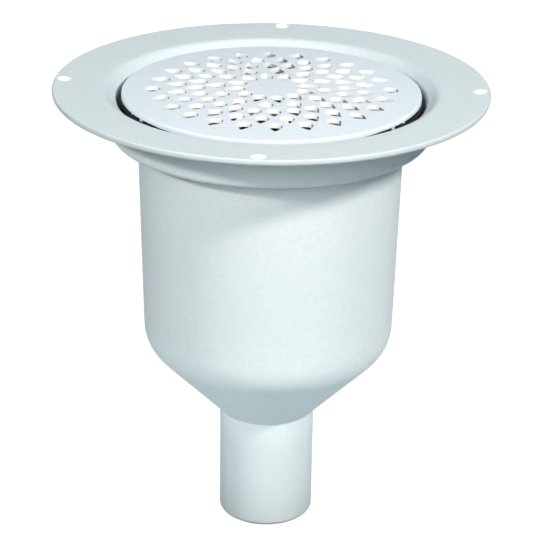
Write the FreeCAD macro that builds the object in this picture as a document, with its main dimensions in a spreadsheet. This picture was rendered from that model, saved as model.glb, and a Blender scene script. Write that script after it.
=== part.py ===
"""Floor drain with a round grate and a lift-out water trap.

The drain body is one revolved moulding: a flange for the floor covering, a dish for the grate,
a drafted barrel, a cone and an outlet spigot.  The trap insert lies in the dish on a rubber seal
and its collar carries the grate, whose lugs stand astride three keys.  The trap cup is plugged
onto the insert's dip tube.

Millimetres and degrees.  The origin is on the axis, in the top face of the flange; +Z is up.
"""
import FreeCAD, Part
import os
import Sketcher

# Driving sizes: lengths in millimetres, angles in degrees, the rest are counts.
SIZES = {
    # Flange and the collar that rolls over into the dish
    "flange_radius": 110.0,
    "flange_thickness": 3.2,
    "collar_round": 13.0,
    # Dish, barrel, cone and outlet of the drain body
    "dish_radius": 78.0,
    "dish_depth": 25.8,
    "body_wall": 3.0,
    "lip_bevel": 1.8,
    "barrel_radius": 67.65,
    "barrel_draft": 1.3,
    "shoulder_depth": 138.2,
    "shoulder_round": 22.0,
    "cone_angle": 44.0,
    "outlet_radius": 25.0,
    "outlet_wall": 2.5,
    "outlet_depth": 241.0,
    # Fixing holes in the flange
    "hole_count": 4,
    "hole_inset": 5.0,
    "hole_radius": 3.5,
    # Grate: a plate with a sloping edge band, a skirt, ribs and lugs
    "grate_gap": 3.0,
    "plate_depth": 1.4,
    "plate_thickness": 2.6,
    "band_width": 7.5,
    "band_fall": 1.6,
    "skirt_radius": 68.0,
    "skirt_wall": 2.0,
    "skirt_drop": 4.0,
    "rib_ring_radius": 24.2,
    "rib_count": 12,
    "rib_thickness": 2.2,
    "rib_drop": 3.0,
    "lug_count": 3,
    "lug_sweep": 19.8,
    "lug_thickness": 2.0,
    "lug_inset": 0.2,
    "lug_drop": 1.8,
    "lug_play": 1.1,
    # Teardrop holes of the grate, in rings, and two round lifting holes
    "ring_first": 16.2,
    "ring_pitch": 10.3,
    "inner_count": 12,
    "outer_count": 24,
    "drop_round": 3.7,
    "drop_length": 6.5,
    "pattern_clock": 5.15,
    "lift_circle": 60.0,
    "lift_radius": 4.0,
    # Seal and trap insert
    "seal_thickness": 2.5,
    "seal_inset": 1.0,
    "insert_gap": 2.2,
    "trap_wall": 2.2,
    "key_width": 6.0,
    "key_rise": 1.3,
    "locator_play": 1.0,
    "bowl_depth": 12.0,
    "tube_bore": 20.0,
    "tube_depth": 104.0,
    "handle_span": 56.0,
    "handle_width": 6.0,
    "handle_bar": 4.0,
    "handle_depth": 11.0,
    # Trap cup
    "cup_bore": 42.0,
    "water_seal": 50.0,
    "cup_floor": 14.0,
    "fin_count": 3,
    "fin_thickness": 2.4,
    "fin_plug": 12.0,
    "fin_fit": 0.1,
    "fin_ledge": 1.5,
}


def size(name):
    """Return the expression that reads one driving size."""
    return f"Sizes.{name}"


# Turns in degrees at which the rolled collar has its corners.
COLLAR_TURNS = (0, 30, 60, 90)

# Lengths that follow from the driving sizes, written as expressions.
HOLE_CIRCLE = "(Sizes.flange_radius - Sizes.hole_inset)"
COLLAR_CENTRE = "(Sizes.dish_radius + Sizes.collar_round)"
COLLAR_HOLLOW = "(Sizes.collar_round - Sizes.body_wall)"
DISH_OUTER = "(Sizes.dish_radius + Sizes.body_wall)"
LEDGE_DEPTH = "(Sizes.dish_depth - Sizes.body_wall)"
BARREL_LEAN = "tan(Sizes.barrel_draft * 1 deg)"
BARREL_SKIN = "(Sizes.body_wall / cos(Sizes.barrel_draft * 1 deg))"
CONE_LEAN = "tan(Sizes.cone_angle * 1 deg)"
CONE_SKIN = "(Sizes.body_wall / cos(Sizes.cone_angle * 1 deg))"
BARREL_BORE = f"(Sizes.barrel_radius + Sizes.body_wall * {BARREL_LEAN} - {BARREL_SKIN})"
SHOULDER_RADIUS = f"(Sizes.barrel_radius - (Sizes.shoulder_depth - Sizes.dish_depth) * {BARREL_LEAN})"
SHOULDER_LIFT = f"(({CONE_SKIN} - {BARREL_SKIN}) / ({CONE_LEAN} - {BARREL_LEAN}))"
SHOULDER_BORE = f"({SHOULDER_RADIUS} + {SHOULDER_LIFT} * {BARREL_LEAN} - {BARREL_SKIN})"
CONE_DEPTH = f"(Sizes.shoulder_depth + ({SHOULDER_RADIUS} - Sizes.outlet_radius) / {CONE_LEAN})"
OUTLET_BORE = "(Sizes.outlet_radius - Sizes.outlet_wall)"
CONE_BORE_DEPTH = (
    f"(Sizes.shoulder_depth + ({SHOULDER_RADIUS} - {CONE_SKIN} - {OUTLET_BORE}) / {CONE_LEAN})"
)

GRATE_RADIUS = "(Sizes.dish_radius - Sizes.grate_gap)"
GRATE_EDGE = "(Sizes.plate_depth + Sizes.band_fall)"
SEAT_DEPTH = f"({GRATE_EDGE} + Sizes.plate_thickness)"
PLATE_UNDER = "(Sizes.plate_depth + Sizes.plate_thickness)"
IN_PLATE = "(Sizes.plate_depth + Sizes.plate_thickness / 2)"
SKIRT_INNER = "(Sizes.skirt_radius - Sizes.skirt_wall)"
RIB_RING_INNER = "(Sizes.rib_ring_radius - Sizes.rib_thickness)"
LUG_OUTER = f"({GRATE_RADIUS} - Sizes.lug_inset)"
LUG_SLOT = "(Sizes.key_width + 2 * Sizes.lug_play)"
LUG_END = f"({SEAT_DEPTH} + Sizes.lug_drop)"

INSERT_RADIUS = "(Sizes.dish_radius - Sizes.insert_gap)"
COLLAR_BORE = "(Sizes.dish_radius - Sizes.insert_gap - Sizes.trap_wall)"
KEY_OUTER = f"({INSERT_RADIUS}^2 - (Sizes.key_width / 2)^2)^0.5"
SEAL_TOP = f"({LEDGE_DEPTH} - Sizes.seal_thickness)"
INSERT_TOP = f"({SEAL_TOP} - Sizes.trap_wall)"
LOCATOR_RADIUS = f"({BARREL_BORE} - Sizes.locator_play)"
INSERT_BORE = f"({LOCATOR_RADIUS} - Sizes.trap_wall)"
BOWL_FLOOR = f"({INSERT_TOP} + Sizes.bowl_depth)"
TUBE_OUTER = "(Sizes.tube_bore + Sizes.trap_wall)"

CUP_OUTER = "(Sizes.cup_bore + Sizes.trap_wall)"
CUP_RIM = "(Sizes.tube_depth - Sizes.water_seal)"
CUP_INSIDE = "(Sizes.tube_depth + Sizes.cup_floor)"
CUP_BOTTOM = f"({CUP_INSIDE} + Sizes.trap_wall)"

doc = FreeCAD.newDocument("floor_drain")


def make_sheet():
    """Write the driving sizes into a sheet, one aliased cell each."""
    sheet = doc.addObject("Spreadsheet::Sheet", "Sizes")
    for row, (name, number) in enumerate(SIZES.items(), start=1):
        sheet.set(f"A{row}", name)
        sheet.set(f"B{row}", str(number))
        sheet.setAlias(f"B{row}", name)
    doc.recompute()
    return sheet


def origin_feature(body, role):
    """Return one of a body's own origin planes or axes."""
    return next(item for item in body.Origin.OriginFeatures if item.Role == role)


def new_body(name):
    """Start a sub-part."""
    body = doc.addObject("PartDesign::Body", name)
    body.Label = name
    return body


def new_sketch(body, name, role):
    """Add an empty sketch on one of the body's origin planes."""
    sketch = body.newObject("Sketcher::SketchObject", name)
    sketch.AttachmentSupport = [(origin_feature(body, role), "")]
    sketch.MapMode = "FlatFace"
    doc.recompute()
    return sketch


def hold(sketch, constraint, expression):
    """Add a dimension to a sketch and bind it to an expression."""
    index = sketch.addConstraint(constraint)
    sketch.setExpression(f"Constraints[{index}]", expression)


def hold_point(sketch, edge, end, across, along):
    """Fix a sketch point by its two coordinates, each an expression or "0"."""
    for kind, axis, expression in (("DistanceX", -2, across), ("DistanceY", -1, along)):
        if expression == "0":
            sketch.addConstraint(Sketcher.Constraint("PointOnObject", edge, end, axis))
        else:
            number = sketch.evalExpression(expression)
            hold(sketch, Sketcher.Constraint(kind, -1, 1, edge, end, number), expression)


def sketch_vector(sketch, corner):
    """Return where a corner, given as two expressions, lies now."""
    across, along = (float(sketch.evalExpression(expression)) for expression in corner)
    return FreeCAD.Vector(across, along, 0)


def add_outline(sketch, corners):
    """Draw a closed outline of straight sides through corners, each a pair of expressions."""
    points = [sketch_vector(sketch, corner) for corner in corners]
    first = sketch.GeometryCount
    for index, start in enumerate(points):
        end = points[(index + 1) % len(points)]
        sketch.addGeometry(Part.LineSegment(start, end), False)
    for index, corner in enumerate(corners):
        before = (index - 1) % len(corners)
        sketch.addConstraint(Sketcher.Constraint("Coincident", first + before, 2, first + index, 1))
        hold_point(sketch, first + index, 1, corner[0], corner[1])


def revolve(body, name, corners):
    """Turn a half section, given in radius and height, about the upright axis."""
    sketch = new_sketch(body, f"{name}_section", "XZ_Plane")
    add_outline(sketch, corners)
    feature = body.newObject("PartDesign::Revolution", name)
    feature.Profile = sketch
    feature.ReferenceAxis = (sketch, ["V_Axis"])
    feature.Angle = 360
    doc.recompute()
    return feature


def sweep_sector(body, name, corners, angle):
    """Turn a half section by an angle, to equal sides of the plane through +Y and +Z."""
    sketch = new_sketch(body, f"{name}_section", "YZ_Plane")
    add_outline(sketch, corners)
    feature = body.newObject("PartDesign::Revolution", name)
    feature.Profile = sketch
    feature.ReferenceAxis = (sketch, ["V_Axis"])
    feature.Midplane = True
    feature.setExpression("Angle", angle)
    doc.recompute()
    return feature


def pad_across(body, name, role, corners, width):
    """Pad an outline to equal distances on both sides of an upright origin plane."""
    sketch = new_sketch(body, f"{name}_outline", role)
    add_outline(sketch, corners)
    feature = body.newObject("PartDesign::Pad", name)
    feature.Profile = sketch
    feature.SideType = "Symmetric"
    feature.setExpression("Length", width)
    doc.recompute()
    return feature


def pad_turned(body, name, corners, width, clock):
    """Pad an upright outline both ways, with its plane turned about the upright axis."""
    sketch = new_sketch(body, f"{name}_outline", "XZ_Plane")
    sketch.AttachmentOffset = FreeCAD.Placement(
        FreeCAD.Vector(0, 0, 0), FreeCAD.Rotation(FreeCAD.Vector(0, 1, 0), 1.0)
    )
    sketch.setExpression("AttachmentOffset.Rotation.Angle", clock)
    add_outline(sketch, corners)
    feature = body.newObject("PartDesign::Pad", name)
    feature.Profile = sketch
    feature.SideType = "Symmetric"
    feature.setExpression("Length", width)
    doc.recompute()
    return feature


def cut_across(body, name, role, corners, width):
    """Cut an outline to equal distances on both sides of an upright origin plane."""
    sketch = new_sketch(body, f"{name}_outline", role)
    add_outline(sketch, corners)
    feature = body.newObject("PartDesign::Pocket", name)
    feature.Profile = sketch
    feature.SideType = "Symmetric"
    feature.setExpression("Length", width)
    doc.recompute()
    return feature


def cut_down(body, name, sketch):
    """Cut a plan outline downwards through everything."""
    feature = body.newObject("PartDesign::Pocket", name)
    feature.Profile = sketch
    feature.Type = "ThroughAll"
    doc.recompute()
    return feature


def repeat_round(body, name, originals, count, angle="360"):
    """Repeat features about the upright axis, evenly over an angle."""
    pattern = body.newObject("PartDesign::PolarPattern", name)
    pattern.Originals = originals
    pattern.Axis = (origin_feature(body, "Z_Axis"), [""])
    pattern.setExpression("Angle", angle)
    pattern.setExpression("Occurrences", count)
    body.Tip = pattern
    doc.recompute()
    return pattern


def plan_sketch(body, name, clock):
    """Add a plan sketch turned about the upright axis by an angle in degrees."""
    sketch = new_sketch(body, name, "XY_Plane")
    sketch.AttachmentOffset = FreeCAD.Placement(
        FreeCAD.Vector(0, 0, 0), FreeCAD.Rotation(FreeCAD.Vector(0, 0, 1), 1.0)
    )
    sketch.setExpression("AttachmentOffset.Rotation.Angle", clock)
    doc.recompute()
    return sketch


def add_circle(sketch, across, radius):
    """Draw a circle on the sketch's level axis."""
    centre = FreeCAD.Vector(sketch.evalExpression(across), 0, 0)
    number = sketch.evalExpression(radius)
    edge = sketch.addGeometry(Part.Circle(centre, FreeCAD.Vector(0, 0, 1), number), False)
    hold_point(sketch, edge, 3, across, "0")
    hold(sketch, Sketcher.Constraint("Radius", edge, number), radius)


def teardrop_corners(reach, turned=False):
    """Return the corners of a teardrop: a round end towards the centre and a point outwards.

    The round end is four equal chords between the two sides that run to the point.  A turned
    teardrop lies on the other side of the centre.
    """
    start = "acos(Sizes.drop_round / Sizes.drop_length)"
    upper = []
    for chord in range(2):
        angle = f"({start} + {chord} * (180 deg - {start}) / 2)"
        upper.append((f"({reach} + Sizes.drop_round * cos({angle}))", f"(Sizes.drop_round * sin({angle}))"))
    tip = (f"({reach} + Sizes.drop_length)", "0")
    bow = (f"({reach} - Sizes.drop_round)", "0")
    lower = [(across, f"-{along}") for across, along in reversed(upper)]
    corners = [tip, *upper, bow, *lower]
    if not turned:
        return corners
    return [(f"-{across}", along) for across, along in reversed(corners)]


def bend_corners(radius, depth, bend):
    """Return three corners that ease the barrel into the cone, from the cone upwards.

    They lie on an arc of radius bend that touches both slopes: its two ends and its middle.
    The slopes would meet at the given radius and depth.
    """
    half = "((Sizes.cone_angle - Sizes.barrel_draft) / 2 * 1 deg)"
    mean = "((Sizes.cone_angle + Sizes.barrel_draft) / 2 * 1 deg)"
    reach = f"({bend} * tan{half})"
    sag = f"({bend} * (1 / cos{half} - 1))"
    cone = "(Sizes.cone_angle * 1 deg)"
    barrel = "(Sizes.barrel_draft * 1 deg)"
    return [
        (f"({radius} - {reach} * sin{cone})", f"-({depth} + {reach} * cos{cone})"),
        (f"({radius} - {sag} * cos{mean})", f"-({depth} - {sag} * sin{mean})"),
        (f"({radius} + {reach} * sin{barrel})", f"-({depth} - {reach} * cos{barrel})"),
    ]


def collar_corners(bend, depth):
    """Return four corners that roll the flange over into the dish, from the flange downwards.

    They lie a third of a quarter turn apart on an arc of radius bend that starts at the given depth.
    """
    return [
        (f"({COLLAR_CENTRE} - {bend} * sin({turn} deg))", f"-({depth} + {bend} * (1 - cos({turn} deg)))")
        for turn in COLLAR_TURNS
    ]


def make_drain_body():
    """Build the one-piece moulding that is set into the floor."""
    body = new_body("drain_body")
    outside = bend_corners(SHOULDER_RADIUS, size("shoulder_depth"), size("shoulder_round"))
    inside_depth = f"(Sizes.shoulder_depth - {SHOULDER_LIFT})"
    inside = bend_corners(SHOULDER_BORE, inside_depth, "(Sizes.shoulder_round - Sizes.body_wall)")
    section = [
        (OUTLET_BORE, "-Sizes.outlet_depth"),
        (size("outlet_radius"), "-Sizes.outlet_depth"),
        (size("outlet_radius"), f"-{CONE_DEPTH}"),
        *outside,
        (size("barrel_radius"), "-Sizes.dish_depth"),
        (f"({DISH_OUTER} - Sizes.lip_bevel)", "-Sizes.dish_depth"),
        (DISH_OUTER, "-(Sizes.dish_depth - Sizes.lip_bevel)"),
        *reversed(collar_corners(COLLAR_HOLLOW, size("flange_thickness"))),
        (size("flange_radius"), "-Sizes.flange_thickness"),
        (size("flange_radius"), "0"),
        *collar_corners(size("collar_round"), "0"),
        (size("dish_radius"), f"-{LEDGE_DEPTH}"),
        (BARREL_BORE, f"-{LEDGE_DEPTH}"),
        *reversed(inside),
        (OUTLET_BORE, f"-{CONE_BORE_DEPTH}"),
    ]
    revolve(body, "shell", section)

    holes = plan_sketch(body, "fixing_hole_outline", "0")
    add_circle(holes, HOLE_CIRCLE, size("hole_radius"))
    hole = cut_down(body, "fixing_hole", holes)
    repeat_round(body, "fixing_holes", [hole], size("hole_count"))
    return body


def cut_ring(body, name, index, count, clock):
    """Cut one full ring of teardrop holes; rings are counted from the centre."""
    reach = f"(Sizes.ring_first + {index} * Sizes.ring_pitch)"
    sketch = plan_sketch(body, f"{name}_outline", clock)
    add_outline(sketch, teardrop_corners(reach))
    hole = cut_down(body, f"{name}_hole", sketch)
    repeat_round(body, name, [hole], count)


def cut_outer_ring(body, name, index, count, clock):
    """Cut the outermost ring: teardrops all round but for two round lifting holes."""
    reach = f"(Sizes.ring_first + {index} * Sizes.ring_pitch)"
    step = f"360 / {count}"
    sketch = plan_sketch(body, f"{name}_outline", f"{clock} + {step}")
    add_outline(sketch, teardrop_corners(reach))
    add_outline(sketch, teardrop_corners(reach, turned=True))
    hole = cut_down(body, f"{name}_hole", sketch)
    repeat_round(body, name, [hole], f"{count} / 2 - 1", f"180 - 2 * {step}")

    lifting = plan_sketch(body, "lifting_hole_outline", clock)
    add_circle(lifting, size("lift_circle"), size("lift_radius"))
    lifting_hole = cut_down(body, "lifting_hole", lifting)
    repeat_round(body, "lifting_holes", [lifting_hole], "2")


def make_grate():
    """Build the lift-out grate."""
    body = new_body("grate")
    skirt_end = f"-({SEAT_DEPTH} + Sizes.skirt_drop)"
    band_start = f"({GRATE_RADIUS} - Sizes.band_width)"
    plate = [
        ("0", f"-{PLATE_UNDER}"),
        (SKIRT_INNER, f"-{PLATE_UNDER}"),
        (SKIRT_INNER, skirt_end),
        (size("skirt_radius"), skirt_end),
        (size("skirt_radius"), f"-{SEAT_DEPTH}"),
        (GRATE_RADIUS, f"-{SEAT_DEPTH}"),
        (GRATE_RADIUS, f"-{GRATE_EDGE}"),
        (band_start, "-Sizes.plate_depth"),
        ("0", "-Sizes.plate_depth"),
    ]
    revolve(body, "plate", plate)

    rib_end = f"-({SEAT_DEPTH} + Sizes.rib_drop)"
    rib_ring = [
        (RIB_RING_INNER, rib_end),
        (size("rib_ring_radius"), rib_end),
        (size("rib_ring_radius"), f"-{IN_PLATE}"),
        (RIB_RING_INNER, f"-{IN_PLATE}"),
    ]
    revolve(body, "rib_ring", rib_ring)

    half_step = f"180 / {size('outer_count')}"
    clock = size("pattern_clock")
    cut_ring(body, "ring_a", 0, size("inner_count"), f"{clock} + {half_step}")
    cut_ring(body, "ring_b", 1, size("inner_count"), f"{clock} - {half_step}")
    cut_ring(body, "ring_c", 2, size("outer_count"), clock)
    cut_ring(body, "ring_d", 3, size("outer_count"), f"{clock} + {half_step}")
    cut_outer_ring(body, "ring_e", 4, size("outer_count"), clock)

    rib_inner = f"({RIB_RING_INNER} + Sizes.rib_thickness / 2)"
    rib_outer = f"({SKIRT_INNER} + Sizes.skirt_wall / 2)"
    rib_outline = [
        (rib_inner, rib_end),
        (rib_outer, rib_end),
        (rib_outer, f"-{IN_PLATE}"),
        (rib_inner, f"-{IN_PLATE}"),
    ]
    rib = pad_turned(body, "rib", rib_outline, size("rib_thickness"), f"{clock} + {half_step}")
    repeat_round(body, "ribs", [rib], size("rib_count"))

    lug_inner = f"({LUG_OUTER} - Sizes.lug_thickness)"
    in_rim = f"-({SEAT_DEPTH} - Sizes.plate_thickness / 2)"
    lug_outline = [
        (lug_inner, f"-{LUG_END}"),
        (LUG_OUTER, f"-{LUG_END}"),
        (LUG_OUTER, in_rim),
        (lug_inner, in_rim),
    ]
    lugs = sweep_sector(body, "lug_pair", lug_outline, size("lug_sweep"))
    spare = size("lug_thickness")
    slot_outline = [
        (f"({lug_inner} - {spare})", f"-({LUG_END} + {spare})"),
        (f"({LUG_OUTER} + {spare})", f"-({LUG_END} + {spare})"),
        (f"({LUG_OUTER} + {spare})", f"-{SEAT_DEPTH}"),
        (f"({lug_inner} - {spare})", f"-{SEAT_DEPTH}"),
    ]
    slot = cut_across(body, "lug_slot", "YZ_Plane", slot_outline, LUG_SLOT)
    repeat_round(body, "lugs", [lugs, slot], size("lug_count"))
    return body


def make_trap_seal():
    """Build the flat rubber ring between the ledge and the trap insert."""
    body = new_body("trap_seal")
    inner = f"({BARREL_BORE} + Sizes.seal_inset)"
    section = [
        (inner, f"-{LEDGE_DEPTH}"),
        (INSERT_RADIUS, f"-{LEDGE_DEPTH}"),
        (INSERT_RADIUS, f"-{SEAL_TOP}"),
        (inner, f"-{SEAL_TOP}"),
    ]
    revolve(body, "ring", section)
    return body


def make_trap_insert():
    """Build the funnel that lies on the seal, with its collar, dip tube and lifting handle."""
    body = new_body("trap_insert")
    floor_under = f"-({BOWL_FLOOR} + Sizes.trap_wall)"
    section = [
        (size("tube_bore"), "-Sizes.tube_depth"),
        (TUBE_OUTER, "-Sizes.tube_depth"),
        (TUBE_OUTER, floor_under),
        (LOCATOR_RADIUS, floor_under),
        (LOCATOR_RADIUS, f"-{SEAL_TOP}"),
        (INSERT_RADIUS, f"-{SEAL_TOP}"),
        (INSERT_RADIUS, f"-{LUG_END}"),
        (COLLAR_BORE, f"-{LUG_END}"),
        (COLLAR_BORE, f"-{INSERT_TOP}"),
        (INSERT_BORE, f"-{INSERT_TOP}"),
        (INSERT_BORE, f"-{BOWL_FLOOR}"),
        (size("tube_bore"), f"-{BOWL_FLOOR}"),
    ]
    revolve(body, "funnel", section)

    outer = "(Sizes.handle_span / 2)"
    inner = f"({outer} - Sizes.handle_bar)"
    foot = f"-({BOWL_FLOOR} + Sizes.trap_wall / 2)"
    bar_under = "-(Sizes.handle_depth + Sizes.handle_bar)"
    arch = [
        (inner, foot),
        (outer, foot),
        (outer, "-Sizes.handle_depth"),
        (f"-{outer}", "-Sizes.handle_depth"),
        (f"-{outer}", foot),
        (f"-{inner}", foot),
        (f"-{inner}", bar_under),
        (inner, bar_under),
    ]
    pad_across(body, "handle", "XZ_Plane", arch, size("handle_width"))

    in_collar = f"-({LUG_END} + Sizes.trap_wall)"
    key_top = f"-({LUG_END} - Sizes.key_rise)"
    key_outline = [
        (COLLAR_BORE, in_collar),
        (KEY_OUTER, in_collar),
        (KEY_OUTER, key_top),
        (COLLAR_BORE, key_top),
    ]
    key = pad_across(body, "key", "YZ_Plane", key_outline, size("key_width"))
    repeat_round(body, "keys", [key], size("lug_count"))
    return body


def make_trap_cup():
    """Build the cup that holds the water seal, with the fins that plug into the dip tube."""
    body = new_body("trap_cup")
    section = [
        ("0", f"-{CUP_BOTTOM}"),
        (CUP_OUTER, f"-{CUP_BOTTOM}"),
        (CUP_OUTER, f"-{CUP_RIM}"),
        (size("cup_bore"), f"-{CUP_RIM}"),
        (size("cup_bore"), f"-{CUP_INSIDE}"),
        ("0", f"-{CUP_INSIDE}"),
    ]
    revolve(body, "cup", section)

    in_floor = f"-({CUP_INSIDE} + Sizes.trap_wall / 2)"
    plug = "(Sizes.tube_bore - Sizes.fin_fit)"
    ledge = f"({TUBE_OUTER} + Sizes.fin_ledge)"
    outline = [
        ("0", in_floor),
        (ledge, in_floor),
        (ledge, "-Sizes.tube_depth"),
        (plug, "-Sizes.tube_depth"),
        (plug, "-(Sizes.tube_depth - Sizes.fin_plug)"),
        ("0", "-(Sizes.tube_depth - Sizes.fin_plug)"),
    ]
    fin = pad_across(body, "fin", "YZ_Plane", outline, size("fin_thickness"))
    repeat_round(body, "fins", [fin], size("fin_count"))
    return body


def check_document(bodies):
    """Raise an error if any object failed or any sub-part is not one sound solid."""
    for item in doc.Objects:
        if {"Invalid", "Error"} & set(item.State):
            raise RuntimeError(f"{item.Name} failed: {item.State}")
    for body in bodies:
        shape = body.Shape
        if shape.isNull() or not shape.isValid() or len(shape.Solids) != 1:
            raise RuntimeError(f"{body.Label} is not one sound solid")


def main():
    """Build every sub-part and write each to its own file."""
    make_sheet()
    bodies = [make_drain_body(), make_grate(), make_trap_seal(), make_trap_insert(), make_trap_cup()]
    doc.recompute()
    check_document(bodies)
    os.makedirs("parts", exist_ok=True)
    for body in bodies:
        body.Shape.exportStep(f"parts/{body.Label}.step")
        print(f"{body.Label}: {body.Shape.Volume / 1000:.1f} cm3")


main()
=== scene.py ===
"""Looks of a floor drain: a pale flanged body, a white lift-out grate and a dark water trap.

Sizes in the classes are millimetres, as on a drawing, with the origin on the drain's axis in the
top face of the flange, and angles are degrees.  Meshes are in metres.
"""
import logging
import math
from collections.abc import Callable, Sequence
from dataclasses import dataclass
from enum import Enum

import bmesh
import bpy
import numpy as np
from mathutils import Matrix, Vector
from numpy.typing import ArrayLike


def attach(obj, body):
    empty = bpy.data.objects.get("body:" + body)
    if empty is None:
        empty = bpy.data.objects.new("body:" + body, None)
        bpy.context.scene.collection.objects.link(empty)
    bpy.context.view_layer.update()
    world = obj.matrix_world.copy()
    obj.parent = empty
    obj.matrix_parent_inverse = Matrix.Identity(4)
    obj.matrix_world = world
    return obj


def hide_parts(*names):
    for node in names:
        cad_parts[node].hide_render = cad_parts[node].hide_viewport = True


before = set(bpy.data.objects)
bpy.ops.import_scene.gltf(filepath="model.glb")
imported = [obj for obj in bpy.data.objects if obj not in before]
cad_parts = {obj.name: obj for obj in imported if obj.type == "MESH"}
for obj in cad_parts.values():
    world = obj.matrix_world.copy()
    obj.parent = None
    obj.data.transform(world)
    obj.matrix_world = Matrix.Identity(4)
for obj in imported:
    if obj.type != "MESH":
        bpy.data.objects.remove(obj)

Number = float | np.ndarray
Curve = Callable[[Number], Number]
Colour = tuple[float, float, float]

LOG = logging.getLogger("floor_drain")
MM = 0.001
# Points closer than this, in millimetres, become one
WELD = 0.001
# The record's one body, which every piece rides
BODY = "root"
WHITE: Colour = (1.0, 1.0, 1.0)
# How squarely the grate's points face away from one side; hole walls that do get painted shade
SHADE_SIDE = "painted_shade_side"


class Slot(Enum):
    """Material slots of the record that the new pieces stand for."""

    BODY = "body_plastic"
    GRATE = "grate_plastic"


class HoleShape(Enum):
    """Outlines of the holes in the plates."""

    ROUND = "round"
    TEARDROP = "teardrop"


# Surfaces


@dataclass
class Surface:
    """Points in millimetres and four-cornered faces; corners that coincide make a triangle."""

    points: np.ndarray
    faces: np.ndarray

    @staticmethod
    def from_grid(grid: np.ndarray, wrap: bool = False) -> "Surface":
        """Join neighbouring points of a grid, or of a stack of grids, into faces.

        Args:
            grid: points in an array of shape (..., rows, columns, 3).
            wrap: True if the last column meets the first.

        Returns:
            The surface of all the grids.
        """
        stack = grid.reshape(-1, *grid.shape[-3:])
        count, rows, columns, _ = stack.shape
        index = np.arange(count * rows * columns).reshape(count, rows, columns)
        if wrap:
            index = np.concatenate([index, index[:, :, :1]], axis=2)
        corners = [index[:, :-1, :-1], index[:, :-1, 1:], index[:, 1:, 1:], index[:, 1:, :-1]]
        return Surface(stack.reshape(-1, 3), np.stack(corners, axis=-1).reshape(-1, 4))

    @staticmethod
    def joined(surfaces: Sequence["Surface"]) -> "Surface":
        """Put several surfaces into one.

        Args:
            surfaces: the surfaces, in any order.

        Returns:
            One surface with all their points and faces.
        """
        starts = np.cumsum([0] + [len(surface.points) for surface in surfaces[:-1]])
        points = np.concatenate([surface.points for surface in surfaces])
        faces = np.concatenate([surface.faces + start for surface, start in zip(surfaces, starts)])
        return Surface(points, faces)

    def to_object(self, name: str) -> bpy.types.Object:
        """Make a smooth mesh object whose seams are closed and whose faces point outwards.

        Args:
            name: name of the object and its mesh.

        Returns:
            The object, at the origin, in the scene.
        """
        mesh = bpy.data.meshes.new(name)
        mesh.from_pydata((self.points * MM).tolist(), [], self.faces.tolist())
        work = bmesh.new()
        work.from_mesh(mesh)
        bmesh.ops.remove_doubles(work, verts=work.verts, dist=WELD * MM)
        bmesh.ops.recalc_face_normals(work, faces=work.faces)
        work.to_mesh(mesh)
        work.free()
        mesh.polygons.foreach_set("use_smooth", np.ones(len(mesh.polygons), dtype=bool))
        piece = bpy.data.objects.new(name, mesh)
        bpy.context.scene.collection.objects.link(piece)
        return piece


def rounded_path(
    rows: ArrayLike, closed: bool = False, step: float = 9.0, guard: float = 0.25
) -> np.ndarray:
    """Round the corners of a flat path.

    At each corner an arc of the given radius touches both sides: it starts at the radius times
    the tangent of half the turn before the corner and ends as far after it.  Two more points,
    a little before and after the arc, keep the shading of the sides flat.

    Args:
        rows: two coordinates and the radius of each corner, shape (n, 3); radius 0 keeps it sharp.
        closed: True if the last corner joins the first.
        step: largest turn between two points of an arc, in degrees.
        guard: distance of the two extra points from the ends of the arc.

    Returns:
        The points of the path, shape (m, 2).
    """
    table = np.array(rows, dtype=float)
    corners, radii = table[:, :2], table[:, 2]
    points = []
    last = len(corners) - 1
    for index, (corner, radius) in enumerate(zip(corners, radii)):
        if radius == 0 or (not closed and index in (0, last)):
            points.append(corner[None])
            continue
        before = corners[index - 1] - corner
        after = corners[(index + 1) % len(corners)] - corner
        before = before / np.linalg.norm(before)
        after = after / np.linalg.norm(after)
        turn = math.pi - math.acos(float(np.clip(before @ after, -1, 1)))
        reach = radius * math.tan(turn / 2)
        middle = (before + after) / np.linalg.norm(before + after)
        centre = corner + middle * radius / math.cos(turn / 2)
        spread = np.linspace(-turn / 2, turn / 2, max(2, math.ceil(math.degrees(turn) / step)) + 1)
        along = (after - before) / np.linalg.norm(after - before)
        arc = centre + radius * (np.sin(spread)[:, None] * along - np.cos(spread)[:, None] * middle)
        points += [
            corner[None] + before * (reach + guard),
            arc,
            corner[None] + after * (reach + guard),
        ]
    return np.concatenate(points)


def box_section(low: Sequence[float], high: Sequence[float], radius: float) -> np.ndarray:
    """Make a closed rectangular section with rounded corners.

    Args:
        low: lowest coordinates of the rectangle.
        high: highest coordinates of the rectangle.
        radius: radius of the corners.

    Returns:
        Points round the section, shape (n, 2).
    """
    (left, floor), (right, roof) = low, high
    rows = [(left, floor, radius), (right, floor, radius), (right, roof, radius), (left, roof, radius)]
    return rounded_path(rows, closed=True, step=30, guard=0.05)


def spun(x: Number, y: Number, z: Number, angle: np.ndarray) -> np.ndarray:
    """Turn points about the upright axis.

    At angle a the point (x, y, z) becomes (x cos a - y sin a, x sin a + y cos a, z).

    Args:
        x: distances outwards.
        y: distances sideways.
        z: heights.
        angle: angles in radians; all four are stretched to one shape.

    Returns:
        The points, in that shape and 3 numbers each.
    """
    cos, sin = np.cos(angle), np.sin(angle)
    return np.stack(np.broadcast_arrays(x * cos - y * sin, x * sin + y * cos, z), axis=-1)


def turned(profile: np.ndarray, angles: np.ndarray) -> np.ndarray:
    """Turn a profile about the upright axis.

    A point at radius r and height z becomes (r cos a, r sin a, z) at each angle a.

    Args:
        profile: radii and heights, shape (n, 2).
        angles: angles in radians, shape (m,).

    Returns:
        A grid of points, shape (n, m, 3).
    """
    return spun(profile[:, 0, None], 0.0, profile[:, 1, None], angles)


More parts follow.
